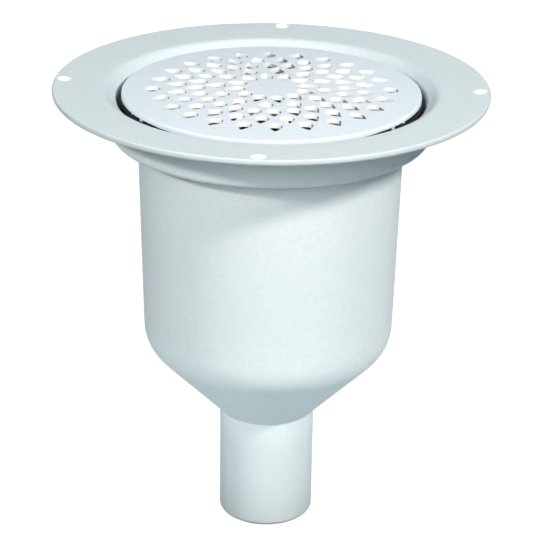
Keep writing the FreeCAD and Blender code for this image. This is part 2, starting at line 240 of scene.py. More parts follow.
def turn_copies(grid: np.ndarray, angles: np.ndarray) -> np.ndarray:
    """Repeat a grid of points about the upright axis.

    Args:
        grid: points, shape (rows, columns, 3).
        angles: angles in radians.

    Returns:
        The copies, shape (angles, rows, columns, 3).
    """
    return spun(grid[..., 0], grid[..., 1], grid[..., 2], angles[:, None, None])


def full_turn(sides: int, start: float = 0.0) -> np.ndarray:
    """Return equal steps of a whole turn, in radians, from a start angle in degrees."""
    return math.radians(start) + np.arange(sides) * 2 * math.pi / sides


def capped(rows: np.ndarray) -> np.ndarray:
    """Close the two ends of a bar by rows that shrink to the middle of its end sections.

    Args:
        rows: sections of the bar, shape (n, m, 3).

    Returns:
        The sections with one more at each end, shape (n + 2, m, 3).
    """
    first = np.broadcast_to(rows[0].mean(axis=0), rows[0].shape)
    last = np.broadcast_to(rows[-1].mean(axis=0), rows[-1].shape)
    return np.concatenate([first[None], rows, last[None]])


def circle(radius: float) -> Curve:
    """Return a curve with the same radius at every angle."""
    return lambda angle: np.full_like(angle, radius)


def rippled(mean: float, wave: float, count: int, start: float) -> Curve:
    """Make a circle with a ripple: its radius is mean + wave * cos(count * (angle - start)).

    Args:
        mean: mean radius.
        wave: height of the waves.
        count: number of waves.
        start: angle of a wave's top, in degrees.

    Returns:
        The curve.
    """
    top = math.radians(start)
    return lambda angle: mean + wave * np.cos(count * (angle - top))


@dataclass(frozen=True)
class HoleOutline:
    """Outline of a hole as a distance from its centre in each direction.

    A round hole has one radius.  A teardrop is the band wrapped round a large circle at the
    centre and a small one further out: an arc of each, joined by their common tangents.
    """

    shape: HoleShape
    radius: float
    length: float = 0.0
    tip: float = 0.0

    def distance(self, direction: np.ndarray, grow: float) -> np.ndarray:
        """Return the distance to the outline.

        Args:
            direction: angles in radians, 0 towards the tip.
            grow: how far the outline is moved outwards all round.

        Returns:
            The distances, in the shape of direction.
        """
        large = self.radius + grow
        if self.shape is HoleShape.ROUND:
            return np.full_like(direction, large)
        small = self.tip + grow
        between = self.length - self.tip
        lean = math.acos((large - small) / between)
        touch = math.atan2(small * math.sin(lean), between + small * math.cos(lean))
        turn = np.abs(direction)
        side = large / np.cos(lean - np.clip(turn, touch, lean))
        reach = np.sqrt(np.clip(small**2 - (between * np.sin(turn)) ** 2, 0, None))
        end = between * np.cos(turn) + reach
        return np.where(turn < touch, end, np.where(turn < lean, side, large))


@dataclass(frozen=True)
class HoleRing:
    """Holes of one outline on a circle, each in its own cell of a round plate.

    A cell reaches from one edge curve to the next and to equal angles on both sides of its hole.
    It is one grid: round the cell, and from its upper border over the rounded edge of the hole,
    down the wall and back to its lower border.  The angles of the holes and the step between two
    points are radians, and half_cells steps lie on each side of a hole.
    """

    angles: np.ndarray
    centre: float
    outline: HoleOutline
    inner: Curve
    outer: Curve
    top: Curve
    bottom: Curve
    step: float
    half_cells: int
    side_rows: int
    edge_round: float = 0.3
    edge_steps: int = 4
    foot_round: float = 0.2
    foot_steps: int = 2
    guard: float = 0.1

    def border(self) -> tuple[np.ndarray, np.ndarray]:
        """Place points round each cell: along its inner curve, out, back along its outer curve and in.

        Returns:
            Angles from the hole and radii of the points, both of shape (holes, points).
        """
        across = np.arange(-self.half_cells, self.half_cells) * self.step
        edge = np.full(self.side_rows, self.half_cells * self.step)
        up = np.arange(self.side_rows) / self.side_rows
        local = np.concatenate([across, edge, -across, -edge])
        level = np.concatenate([np.zeros(len(across)), up, np.ones(len(across)), 1 - up])
        angle = self.angles[:, None] + local
        radius = self.inner(angle) + (self.outer(angle) - self.inner(angle)) * level
        return np.broadcast_to(local, radius.shape), radius

    def edge_loops(
        self, direction: np.ndarray, face: Curve, rounding: float, steps: int, inwards: float
    ) -> list[np.ndarray]:
        """Place the hole's outline several times, from a face round the rounded edge to the wall.

        At angle t of the rounding the outline is grown by its radius times 1 - sin t and sunk
        below the face by its radius times 1 - cos t.  One more loop on either side keeps the
        shading of the face and the wall even.

        Args:
            direction: directions from the hole's centre, shape (holes, points).
            face: height of the face at each radius.
            rounding: radius of the rounded edge.
            steps: number of steps round it.
            inwards: 1 where the plate lies below the face, -1 where it lies above.

        Returns:
            The loops, each of shape (holes, points, 3).
        """
        turn = np.linspace(0.0, math.pi / 2, steps + 1)
        grown = [rounding + self.guard, *(rounding * (1 - np.sin(turn))), 0.0]
        sunk = [0.0, *(rounding * (1 - np.cos(turn))), rounding + self.guard]
        loops = []
        for grow, sink in zip(grown, sunk):
            distance = self.outline.distance(direction, grow)
            x = self.centre + distance * np.cos(direction)
            y = distance * np.sin(direction)
            loops.append(spun(x, y, face(np.hypot(x, y)) - inwards * sink, self.angles[:, None]))
        return loops

    def surface(self) -> Surface:
        """Make the cells.

        Returns:
            All of them as one surface.
        """
        local, radius = self.border()
        x, y = radius * np.cos(local), radius * np.sin(local)
        direction = np.arctan2(y, x - self.centre)
        upper, lower = (spun(x, y, face(radius), self.angles[:, None]) for face in (self.top, self.bottom))
        edge = self.edge_loops(direction, self.top, self.edge_round, self.edge_steps, 1.0)
        foot = self.edge_loops(direction, self.bottom, self.foot_round, self.foot_steps, -1.0)
        return Surface.from_grid(np.stack([upper, *edge, *reversed(foot), lower], axis=1), wrap=True)


# Shader nodes


class Sock:
    """A node's output that takes part in Python arithmetic; each operator adds a Math node."""

    def __init__(self, tree: "ShaderTree", socket: bpy.types.NodeSocket) -> None:
        """Wrap a socket of a tree."""
        self.tree = tree
        self.socket = socket

    def maths(self, operation: str, *values: "Sock | float") -> "Sock":
        """Add one Math node.

        Args:
            operation: the Math node's operation.
            values: its inputs, in order.

        Returns:
            The node's output.
        """
        inputs = dict(enumerate(values))
        return self.tree.node("ShaderNodeMath", {"operation": operation}, inputs)

    def __add__(self, other: "Sock | float") -> "Sock":
        """Add."""
        return self.maths("ADD", self, other)

    __radd__ = __add__

    def __mul__(self, other: "Sock | float") -> "Sock":
        """Multiply."""
        return self.maths("MULTIPLY", self, other)

    __rmul__ = __mul__

    def __sub__(self, other: "Sock | float") -> "Sock":
        """Subtract."""
        return self.maths("SUBTRACT", self, other)

    def __rsub__(self, other: float) -> "Sock":
        """Subtract from a number."""
        return self.maths("SUBTRACT", other, self)

    def __abs__(self) -> "Sock":
        """Drop the sign."""
        return self.maths("ABSOLUTE", self)

    def root(self) -> "Sock":
        """Take the square root."""
        return self.maths("SQRT", self)

    def least(self, other: "Sock | float") -> "Sock":
        """Take the smaller of two values."""
        return self.maths("MINIMUM", self, other)

    def most(self, other: "Sock | float") -> "Sock":
        """Take the larger of two values."""
        return self.maths("MAXIMUM", self, other)

    def ramp(self, low: float, high: float, start: float = 0.0, end: float = 1.0) -> "Sock":
        """Map a range smoothly onto another.

        Args:
            low: value where the ramp starts.
            high: value where it ends.
            start: result at and before low.
            end: result at and after high.

        Returns:
            The mapped value.
        """
        settings = {"interpolation_type": "SMOOTHSTEP"}
        inputs = {"Value": self, "From Min": low, "From Max": high, "To Min": start, "To Max": end}
        return self.tree.node("ShaderNodeMapRange", settings, inputs)


class ShaderTree:
    """A material's or world's node tree."""

    def __init__(self, owner: bpy.types.Material | bpy.types.World) -> None:
        """Empty the tree.

        Args:
            owner: the material or world.
        """
        owner.use_nodes = True
        self.nodes = owner.node_tree.nodes
        self.links = owner.node_tree.links
        self.nodes.clear()

    def node(
        self,
        kind: str,
        settings: dict[str, object] | None = None,
        inputs: dict[str | int, object] | None = None,
        output: str | int = 0,
    ) -> Sock:
        """Add a node.

        Args:
            kind: the node's type.
            settings: properties of the node, set before its sockets.
            inputs: values or links of its sockets, by name or place.
            output: the output that is wanted.

        Returns:
            That output.
        """
        made = self.nodes.new(kind)
        for name, setting in (settings or {}).items():
            setattr(made, name, setting)
        for name, value in (inputs or {}).items():
            if isinstance(value, Sock):
                self.links.new(value.socket, made.inputs[name])
            else:
                made.inputs[name].default_value = value
        return Sock(self, made.outputs[output])

    def place(self) -> Sock:
        """Return the place on the piece, in metres."""
        return self.node("ShaderNodeTexCoord", output="Object")

    def axes(self, vector: Sock) -> tuple[Sock, Sock, Sock]:
        """Split a vector into its three numbers.

        Args:
            vector: the vector.

        Returns:
            Its X, Y and Z.
        """
        split = self.node("ShaderNodeSeparateXYZ", inputs={"Vector": vector})
        outputs = split.socket.node.outputs
        return Sock(self, outputs["X"]), Sock(self, outputs["Y"]), Sock(self, outputs["Z"])

    def noise(self, place: Sock, grain: float, detail: float = 3.0, rough: float = 0.5) -> Sock:
        """Return soft noise from 0 to 1.

        Args:
            place: where to read it.
            grain: size of its grains, in millimetres.
            detail: number of finer layers.
            rough: weight of the finer layers.

        Returns:
            The noise.
        """
        inputs = {"Vector": place, "Scale": 1 / (grain * MM), "Detail": detail, "Roughness": rough}
        return self.node("ShaderNodeTexNoise", inputs=inputs, output="Fac")

    def blend(self, factor: Sock | float, low: Sock | Colour, high: Sock | Colour) -> Sock:
        """Mix two colours.

        Args:
            factor: 0 for the first colour, 1 for the second.
            low: the first colour.
            high: the second colour.

        Returns:
            The mixed colour.
        """
        inputs = {0: factor, 6: low if isinstance(low, Sock) else (*low, 1.0)}
        inputs[7] = high if isinstance(high, Sock) else (*high, 1.0)
        return self.node("ShaderNodeMix", {"data_type": "RGBA"}, inputs, 2)

    def bump(self, height: Sock, distance: float, strength: float, under: Sock | None = None) -> Sock:
        """Return the surface's direction bent by a height.

        Args:
            height: the height, from 0 to 1.
            distance: how far 1 stands above 0, in millimetres.
            strength: share of the effect.
            under: an earlier bump that this one lies on.

        Returns:
            The bent direction.
        """
        inputs: dict[str | int, object] = {"Height": height, "Distance": distance * MM, "Strength": strength}
        if under is not None:
            inputs["Normal"] = under
        return self.node("ShaderNodeBump", inputs=inputs)

    def seen_directly(self) -> Sock:
        """Tell rays that show things from rays that light them.

        Returns:
            1 for rays from the camera, from gloss and through clear things, 0 for others.
        """
        camera = self.node("ShaderNodeLightPath", output="Is Camera Ray")
        outputs = camera.socket.node.outputs
        gloss, clear = Sock(self, outputs["Is Glossy Ray"]), Sock(self, outputs["Is Transmission Ray"])
        return camera.most(gloss).most(clear)

    def surface(self, inputs: dict[str | int, object]) -> None:
        """Finish a material with one general shader."""
        self.output(self.node("ShaderNodeBsdfPrincipled", inputs=inputs))

    def output(self, shader: Sock, kind: str = "ShaderNodeOutputMaterial") -> None:
        """Link a shader to an output node of the given type."""
        self.links.new(shader.socket, self.nodes.new(kind).inputs["Surface"])


# Finishes


@dataclass(frozen=True)
class BodyPlastic:
    """Satin pale grey plastic with a cool tint and a faint cloudy grain.

    It is painted darker round the rim of the flange and on the outlet, as painted shade, painted
    lighter in the four fixing holes, as painted light, and has one small speck of dirt on the front
    of the flange.
    """

    flange_radius: float
    hole_circle: float
    hole_radius: float
    light: Colour = (0.708, 0.770, 0.785)
    dark: Colour = (0.655, 0.727, 0.744)
    # Darker colour of the rim and the outlet: painted shade
    grey: Colour = (0.605, 0.665, 0.68)
    # Lighter colour of the fixing holes' walls: painted light
    pale: Colour = (0.95, 0.955, 0.955)
    dirt: Colour = (0.16, 0.19, 0.20)
    rim_start: float = 0.8
    rim_full: float = 0.3
    outlet_start: float = 180.0
    outlet_full: float = 200.0
    # Share of the painted shade on the outlet
    outlet_dimming: float = 0.7
    pale_core: float = 0.1
    pale_edge: float = 0.3
    speck_place: tuple[float, float] = (10.0, -99.8)
    speck_core: float = 0.1
    speck_edge: float = 0.4
    speck_squeeze: float = 0.4
    speck_cover: float = 0.75
    face_depth: float = 2.0
    gloss: float = 0.06

    def material(self) -> bpy.types.Material:
        """Make the material.

        Returns:
            The material.
        """
        made = bpy.data.materials.new("body_plastic_satin")
        tree = ShaderTree(made)
        place = tree.place()
        cloud = tree.noise(place, grain=45.0, detail=2.0)
        mottle = tree.noise(place, grain=3.2, detail=4.0, rough=0.65)
        grain = tree.noise(place, grain=0.9, detail=2.0, rough=0.6)
        shade = cloud * 0.12 + mottle * 0.4 + grain * 0.48
        plain = tree.blend(shade.ramp(0.385, 0.615), self.dark, self.light)
        x, y, z = tree.axes(place)
        # Painted shade: the rim of the flange and the outlet are darkened
        dimmed = tree.blend(self.dimmed_rim_and_outlet(x, y, z), plain, self.grey)
        stained = tree.blend(self.speck(x, y, z), dimmed, self.dirt)
        # Painted light: the walls of the four fixing holes are lightened
        colour = tree.blend(self.painted_light_in_holes(x, y), stained, self.pale)
        rough = 0.44 + mottle * 0.08 + grain * 0.06
        normal = tree.bump(grain, distance=0.02, strength=0.35)
        normal = tree.bump(mottle, distance=0.05, strength=0.25, under=normal)
        tree.surface(
            {"Base Color": colour, "Roughness": rough, "Normal": normal, "Specular IOR Level": self.gloss}
        )
        return made

    def dimmed_rim_and_outlet(self, x: Sock, y: Sock, z: Sock) -> Sock:
        """Mark the rim of the flange and the outlet, which are painted darker as painted shade.

        Args:
            x: place across the drain, in metres.
            y: place along it.
            z: height.

        Returns:
            1 on the rim, a share of it on the outlet, 0 elsewhere.
        """
        start, full = self.flange_radius - self.rim_start, self.flange_radius - self.rim_full
        rim = (x * x + y * y).root().ramp(start * MM, full * MM)
        outlet = z.ramp(-self.outlet_full * MM, -self.outlet_start * MM, self.outlet_dimming, 0.0)
        return rim.most(outlet)

    def speck(self, x: Sock, y: Sock, z: Sock) -> Sock:
        """Mark one small speck of dirt on the upper face of the flange, stretched along the drain.

        Args:
            x: place across the drain, in metres.
            y: place along it.
            z: height.

        Returns:
            The dirt's cover in the speck, 0 elsewhere.
        """
        across = x - self.speck_place[0] * MM
        along = (y - self.speck_place[1] * MM) * self.speck_squeeze
        distance = (across * across + along * along).root()
        spot = distance.ramp(self.speck_core * MM, self.speck_edge * MM, self.speck_cover, 0.0)
        return spot * z.ramp(-(self.face_depth + 1) * MM, -self.face_depth * MM)

    def painted_light_in_holes(self, x: Sock, y: Sock) -> Sock:
        """Mark the walls of the four fixing holes, which are painted lighter as painted light.

        The distance to the nearest hole's axis is taken on the larger and smaller of |x| and |y|.

        Args:
            x: place across the drain, in metres.
            y: place along it.

        Returns:
            1 inside the holes, 0 elsewhere.
        """
        along = abs(x).most(abs(y)) - self.hole_circle * MM
        beside = abs(x).least(abs(y))
        distance = (along * along + beside * beside).root()
        core, edge = self.hole_radius + self.pale_core, self.hole_radius + self.pale_edge
        return distance.ramp(core * MM, edge * MM, 1.0, 0.0)


@dataclass(frozen=True)
class GratePlastic:
    """Satin white plastic with a slight blue tint and a fine ring left by the mould.

    Hole walls and underside are painted lighter, as painted light; walls facing one way get painted shade.
    """

    radius: float
    crown_depth: float
    crown_fall: float
    light: Colour = (0.765, 0.82, 0.875)
    dark: Colour = (0.72, 0.778, 0.838)
    # Lighter colour of the holes' walls and the underside: painted light
    pale: Colour = (0.875, 0.885, 0.885)
    # Dark colour of the hole walls that face one way: painted shade
    painted_shade: Colour = (0.10, 0.11, 0.11)
    ring_shade: Colour = (0.50, 0.53, 0.58)
    ring_radius: float = 24.3
    ring_core: float = 0.12
    ring_edge: float = 0.3
    ring_cover: float = 0.8
    face_depth: float = 2.0
    wall_start: float = 0.12
    wall_full: float = 0.4
    walls_within: float = 65.0
    painted_shade_start: float = 0.9
    painted_shade_full: float = 0.985
    painted_shade_cover: float = 0.85
    gloss: float = 0.2

    def material(self) -> bpy.types.Material:
        """Make the material.

        Returns:
            The material.
        """
        made = bpy.data.materials.new("grate_plastic_satin")
        tree = ShaderTree(made)
        place = tree.place()
        cloud = tree.noise(place, grain=30.0, detail=2.0)
        mottle = tree.noise(place, grain=3.0, detail=4.0, rough=0.6)
        grain = tree.noise(place, grain=0.6, detail=2.0, rough=0.6)
        shade = cloud * 0.3 + mottle * 0.5 + grain * 0.2
        plain = tree.blend(shade.ramp(0.32, 0.68), self.dark, self.light)
        x, y, z = tree.axes(place)
        square = x * x + y * y
        ring = self.ring(square, z)
        # Painted light: the walls of the holes and the underside are lightened
        wall = self.below_face(square, z)
        # Painted shade: hole walls that face away from one side are darkened
        facing = tree.node("ShaderNodeAttribute", {"attribute_name": SHADE_SIDE}, output="Fac")
        shaded_walls = wall * facing.ramp(self.painted_shade_start, self.painted_shade_full, 0.0, self.painted_shade_cover)
        marked = tree.blend(ring * self.ring_cover, plain, self.ring_shade)
        colour = tree.blend(shaded_walls, tree.blend(wall, marked, self.pale), self.painted_shade)
        rough = 0.34 + mottle * 0.1
        normal = tree.bump(grain, distance=0.015, strength=0.3)
        normal = tree.bump(1 - ring, distance=0.08, strength=0.6, under=normal)
        tree.surface(
            {"Base Color": colour, "Roughness": rough, "Normal": normal, "Specular IOR Level": self.gloss}
        )
        return made

    def ring(self, square: Sock, z: Sock) -> Sock:
        """Mark the fine ring on the upper face.

        Args:
            square: square of the distance from the axis, in square metres.
            z: height, in metres.

        Returns:
            1 on the ring, 0 elsewhere.
        """
        off = abs(square.root() - self.ring_radius * MM)
        band = off.ramp(self.ring_core * MM, self.ring_edge * MM, 1.0, 0.0)
        return band * z.ramp(-(self.face_depth + 1) * MM, -self.face_depth * MM)

    def below_face(self, square: Sock, z: Sock) -> Sock:
        """Mark the walls of the holes and the underside, which are painted lighter as painted light:
        what lies below the face within the edge.

        The face lies as deep as the crown, and deeper by its fall times the square of the distance
        over the square of the grate's radius.

        Args:
            square: square of the distance from the axis, in square metres.
            z: height, in metres.

        Returns:
            1 below the face, 0 on it.
        """
        sunk = -1.0 * z - square * (self.crown_fall / self.radius**2 / MM) - self.crown_depth * MM
        within = square.root().ramp(self.walls_within * MM, (self.walls_within + 1) * MM, 1.0, 0.0)
        return sunk.ramp(self.wall_start * MM, self.wall_full * MM) * within


@dataclass(frozen=True)
class DarkPlastic:
    """Dark grained plastic of the trap, a little dusty in patches."""

    base: Colour = (0.012, 0.012, 0.014)
    dust: Colour = (0.035, 0.035, 0.038)

    def material(self) -> bpy.types.Material:
        """Make the material.

        Returns:
            The material.
        """
        made = bpy.data.materials.new("trap_plastic_grained")
        tree = ShaderTree(made)
        place = tree.place()
        cloud = tree.noise(place, grain=14.0, detail=4.0, rough=0.6)
        grain = tree.noise(place, grain=0.7, detail=2.0)
        colour = tree.blend(cloud.ramp(0.45, 0.75), self.base, self.dust)
        normal = tree.bump(grain, distance=0.03, strength=0.5)
        tree.surface({"Base Color": colour, "Roughness": 0.42 + cloud * 0.2, "Normal": normal})
        return made


@dataclass(frozen=True)
class SealRubber:
    """Matt black rubber with a faint bloom."""

    base: Colour = (0.010, 0.010, 0.011)
    bloom: Colour = (0.045, 0.045, 0.048)

    def material(self) -> bpy.types.Material:
        """Make the material.

        Returns:
            The material.
        """
        made = bpy.data.materials.new("seal_rubber_matt")
        tree = ShaderTree(made)
        place = tree.place()
        cloud = tree.noise(place, grain=9.0, detail=5.0, rough=0.65)
        grain = tree.noise(place, grain=0.4, detail=2.0)
        colour = tree.blend(cloud.ramp(0.5, 0.8), self.base, self.bloom)
        normal = tree.bump(grain, distance=0.03, strength=0.6)
        tree.surface({"Base Color": colour, "Roughness": 0.62 + cloud * 0.2, "Normal": normal})
        return made


# Sub-assemblies


def dress(piece: bpy.types.Object, material: bpy.types.Material, node: str) -> bpy.types.Object:
    """Give a new piece its material and put it in the place of a solid.

    Args:
        piece: the new piece.
        material: its material.
        node: the solid it stands for.

    Returns:
        The piece.
    """
    piece.data.materials.append(material)
    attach(piece, BODY)
    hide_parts(node)
    return piece


@dataclass
class DrainBody:
    """The one-piece moulding: flange, collar, dish, barrel, cone and outlet."""

    flange_radius: float = 110.0
    flange_thickness: float = 3.2
    flange_slope: float = 0.055
    rim_top_round: float = 0.8
    rim_low_round: float = 1.7
    rim_chamfer: float = 0.6
    collar_corner: float = 83.9
    collar_fall: float = 6.8
    collar_bend: float = 6.0
    collar_edge: float = 2.0
    under_bend: float = 10.0
    dish_radius: float = 78.0
    dish_depth: float = 25.8
    dish_round: float = 0.8
    ledge_edge: float = 0.6
    wall: float = 3.0
    lip_round: float = 3.1
    barrel_radius: float = 67.65
    barrel_draft: float = 1.3
    barrel_root: float = 1.2
    shoulder_depth: float = 138.2
    shoulder_round: float = 22.0
    cone_angle: float = 44.0
    outlet_radius: float = 25.0
    outlet_wall: float = 2.5
    outlet_depth: float = 241.0
    outlet_root: float = 1.2
    throat_round: float = 2.0
    mouth_edge: float = 0.05
    mouth_round: float = 2.4
    hole_circle: float = 105.0
    hole_radius: float = 3.5
    hole_edge: float = 0.2
    hole_count: int = 4
    hole_cells: int = 8
    band_inner: float = 99.5
    band_outer: float = 108.75
    band_rows: int = 8
    sides: int = 400

    def top(self, radius: Number) -> Number:
        """Return the height of the flange's face, which falls evenly from the rim inwards."""
        return self.flange_slope * (radius - self.flange_radius)

    def bottom(self, radius: Number) -> Number:
        """Return the height of the flange's underside."""
        return self.top(radius) - self.flange_thickness

    def main_profile(self) -> np.ndarray:
        """Draw the section inside the band of holes, from its upper border to its lower one.

        The path runs down the inside of the dish, the barrel, the cone and the outlet, and up
        their outside.  Walls are even: a leaning wall is moved sideways by its thickness over the
        cosine of its lean.

        Returns:
            Radii and heights, shape (n, 2).
        """
        lean = math.tan(math.radians(self.barrel_draft))
        slope = math.tan(math.radians(self.cone_angle))
        barrel_skin = self.wall / math.cos(math.radians(self.barrel_draft))
        cone_skin = self.wall / math.cos(math.radians(self.cone_angle))
        ledge = self.dish_depth - self.wall
        shoulder = self.barrel_radius - (self.shoulder_depth - self.dish_depth) * lean
        lift = (cone_skin - barrel_skin) / (slope - lean)
        inner_shoulder = shoulder + lift * lean - barrel_skin
        inner_round = self.shoulder_round - self.wall
        bore = self.outlet_radius - self.outlet_wall
        cone_end = self.shoulder_depth + (shoulder - self.outlet_radius) / slope
        bore_end = self.shoulder_depth + (shoulder - cone_skin - bore) / slope
        dish_outer = self.dish_radius + self.wall
        rows = [
            (self.band_inner, self.top(self.band_inner), 0.0),
            (self.collar_corner, self.top(self.collar_corner), self.collar_bend),
            (self.dish_radius, -self.collar_fall, self.collar_edge),
            (self.dish_radius, -ledge, self.dish_round),
            (self.barrel_radius + self.wall * lean - barrel_skin, -ledge, self.ledge_edge),
            (inner_shoulder, lift - self.shoulder_depth, inner_round),
            (bore, -bore_end, self.throat_round),
            (bore, -self.outlet_depth, self.mouth_edge),
            (self.outlet_radius, -self.outlet_depth, self.mouth_round),
            (self.outlet_radius, -cone_end, self.outlet_root),
            (shoulder, -self.shoulder_depth, self.shoulder_round),
            (self.barrel_radius, -self.dish_depth, self.barrel_root),
            (dish_outer, -self.dish_depth, self.lip_round),
            (dish_outer, self.bottom(dish_outer), self.under_bend),
            (self.band_inner, self.bottom(self.band_inner), 0.0),
        ]
        return rounded_path(rows, step=6.0)

    def rim_profile(self) -> np.ndarray:
        """Draw the section round the flange's rim, from the lower border of the band of holes to its upper.

        Returns:
            Radii and heights, shape (n, 2).
        """
        rows = [
            (self.band_outer, self.bottom(self.band_outer), 0.0),
            (self.flange_radius, self.rim_chamfer - self.flange_thickness, self.rim_low_round),
            (self.flange_radius, 0.0, self.rim_top_round),
            (self.band_outer, self.top(self.band_outer), 0.0),
        ]
        return rounded_path(rows, step=10.0, guard=0.0)

    def hole_band(self) -> list[Surface]:
        """Make the flange between the two sections.

        Returns:
            The cells with the fixing holes, then the plain plates between them.
        """
        step = 2 * math.pi / self.sides
        ring = HoleRing(
            angles=full_turn(self.hole_count),
            centre=self.hole_circle,
            outline=HoleOutline(HoleShape.ROUND, self.hole_radius),
            inner=circle(self.band_inner),
            outer=circle(self.band_outer),
            top=self.top,
            bottom=self.bottom,
            step=step,
            half_cells=self.hole_cells,
            side_rows=self.band_rows,
            edge_round=self.hole_edge,
        )
        radii = np.linspace(self.band_inner, self.band_outer, self.band_rows + 1)
        between = np.arange(self.hole_cells, self.sides // self.hole_count - self.hole_cells + 1) * step
        plates = [ring.surface()]
        for face in (self.top, self.bottom):
            section = np.stack([radii, face(radii)], axis=1)
            plates += [Surface.from_grid(turned(section, between + angle)) for angle in ring.angles]
        return plates

    def finish(self) -> BodyPlastic:
        """Return the plastic, marked where this body has its rim and holes."""
        return BodyPlastic(self.flange_radius, self.hole_circle, self.hole_radius)

    def build(self) -> bpy.types.Object:
        """Build and dress the moulding in place of its plain solid.

        Returns:
            The piece.
        """
        angles = full_turn(self.sides)
        profiles = (self.main_profile(), self.rim_profile())
        parts = [Surface.from_grid(turned(profile, angles), wrap=True) for profile in profiles]
        piece = Surface.joined(parts + self.hole_band()).to_object("drain_body_moulding")
        return dress(piece, self.finish().material(), "drain_body")


@dataclass
class Grate:
    """The lift-out grate: crowned plate with rings of holes, edge band, skirt, ribs and lugs."""

    radius: float = 75.6
    crown_depth: float = 1.35
    crown_fall: float = 1.65
    plate: float = 2.42
    edge_round: float = 0.9
    edge_margin: float = 0.8
    edge_foot: float = 0.12
    undercut: float = 2.6
    relief: float = 0.5
    relief_sweep: float = 22.0
    relief_fade: float = 9.0
    seat_depth: float = 5.6
    skirt_radius: float = 68.0
    skirt_wall: float = 2.0
    skirt_drop: float = 4.0
    skirt_root: float = 0.5
    skirt_edge: float = 0.4
    ring_first: float = 17.2
    ring_pitch: float = 9.92
    inner_count: int = 12
    outer_count: int = 24
    clock: float = 4.8
    drop_radius: float = 3.7
    drop_length: float = 6.3
    drop_tip: float = 0.35
    lift_circle: float = 60.0
    lift_radius: float = 4.0
    holes_inner: float = 11.6
    holes_outer: float = 64.8
    border_gap: float = 0.05
    border_wave: float = 0.9
    sides: int = 336
    side_rows: int = 8
    middle_rows: int = 6
    crown_rows: int = 5
    rib_ring: float = 24.2
    rib_width: float = 2.2
    rib_drop: float = 3.0
    rib_count: int = 12
    rib_rows: int = 8
    rib_sides: int = 192
    rib_overlap: float = 0.4
    ring_rib_round: float = 0.3
    rib_round: float = 0.25
    lug_drop: float = 1.8
    lug_overlap: float = 1.3
    lug_width: float = 2.0
    lug_round: float = 0.35
    lug_inset: float = 1.4
    lug_sweep: float = 9.2
    lug_slot: float = 8.2
    lug_rows: int = 9
    lug_angles: tuple[float, ...] = (90.0, 210.0, 330.0)
    # Direction, in degrees, away from which the walls with painted shade face
    painted_shade_side: float = 21.0

    def top(self, radius: Number) -> Number:
        """Return the height of the crowned face: it falls with the square of the radius."""
        return -(self.crown_depth + self.crown_fall * (radius / self.radius) ** 2)

    def bottom(self, radius: Number) -> Number:
        """Return the height of the plate's underside."""
        return self.top(radius) - self.plate

    def ring_plan(self) -> list[tuple[int, float]]:
        """Plan the rings of holes, which are staggered by half the pitch of the outer ones.

        Returns:
            Count of the holes and angle of the first, in degrees, from the centre outwards.
        """
        half = 180 / self.outer_count
        return [
            (self.inner_count, self.clock + half),
            (self.inner_count, self.clock - half),
            (self.outer_count, self.clock),
            (self.outer_count, self.clock + half),
            (self.outer_count, self.clock),
        ]

    def borders(self) -> list[Curve]:
        """Draw the edge curves between the rings of cells.

        Each is a circle with a ripple, which bows outwards at the tips of the ring inside it and
        has as many waves as the ring outside it has holes.

        Returns:
            Six functions from angle to radius.
        """
        plan = self.ring_plan()
        ripples = []
        for index, ((_, turn), (count, _)) in enumerate(zip(plan[:-1], plan[1:])):
            mean = self.ring_first + index * self.ring_pitch + self.drop_length + self.border_gap
            ripples.append(rippled(mean, self.border_wave, count, turn))
        return [circle(self.holes_inner), *ripples, circle(self.holes_outer)]

    def perforated(self) -> list[Surface]:
        """Make the plate with the rings of holes; two of the outermost ring are round, to lift it by.

        Returns:
            The surfaces of the rings.
        """
        borders = self.borders()
        plan = self.ring_plan()
        drop = HoleOutline(HoleShape.TEARDROP, self.drop_radius, self.drop_length, self.drop_tip)
        lift = HoleOutline(HoleShape.ROUND, self.lift_radius)
        parts = []
        for index, (count, turn) in enumerate(plan):
            angles = full_turn(count, turn)
            lifted = np.zeros(count, dtype=bool)
            if index == len(plan) - 1:
                lifted[[0, count // 2]] = True
            drop_circle = self.ring_first + index * self.ring_pitch
            groups = [(angles[~lifted], drop_circle, drop), (angles[lifted], self.lift_circle, lift)]
            for places, centre, outline in groups:
                if len(places) == 0:
                    continue
                ring = HoleRing(
                    angles=places,
                    centre=centre,
                    outline=outline,
                    inner=borders[index],
                    outer=borders[index + 1],
                    top=self.top,
                    bottom=self.bottom,
                    step=2 * math.pi / self.sides,
                    half_cells=self.sides // count // 2,
                    side_rows=self.side_rows,
                )
                parts.append(ring.surface())
        return parts

    def centre_and_rim(self) -> list[Surface]:
        """Make the plain middle of the plate, and its edge with the skirt under it.

        Returns:
            Upper and lower face of the middle, and the edge.
        """
        angles = full_turn(self.sides, self.clock)
        radii = np.linspace(0.0, self.holes_inner, self.middle_rows)
        middle = [np.stack([radii, face(radii)], axis=1) for face in (self.top, self.bottom)]
        inner = self.skirt_radius - self.skirt_wall
        end = -(self.seat_depth + self.skirt_drop)
        crown_end = self.radius - self.edge_round - self.edge_margin
        across = np.linspace(self.holes_outer, crown_end, self.crown_rows)
        crown = np.stack([across, self.top(across)], axis=1)
        edge = self.top(self.radius)
        rows = [
            (*crown[-1], 0.0),
            (self.radius, edge, self.edge_round),
            (self.radius, -self.seat_depth, self.edge_foot),
            (self.radius - self.undercut, -self.seat_depth, 0.0),
            (self.skirt_radius, -self.seat_depth, self.skirt_root),
            (self.skirt_radius, end, self.skirt_edge),
            (inner, end, self.skirt_edge),
            (inner, self.bottom(inner), self.skirt_root),
            (self.holes_outer, self.bottom(self.holes_outer), 0.0),
        ]
        edge_path = rounded_path(rows, step=15.0, guard=0.1)
        rim = turned(np.concatenate([crown[:-1], edge_path]), angles)
        grids = [turned(section, angles) for section in middle] + [self.relieved(rim, angles, edge)]
        return [Surface.from_grid(grid, wrap=True) for grid in grids]

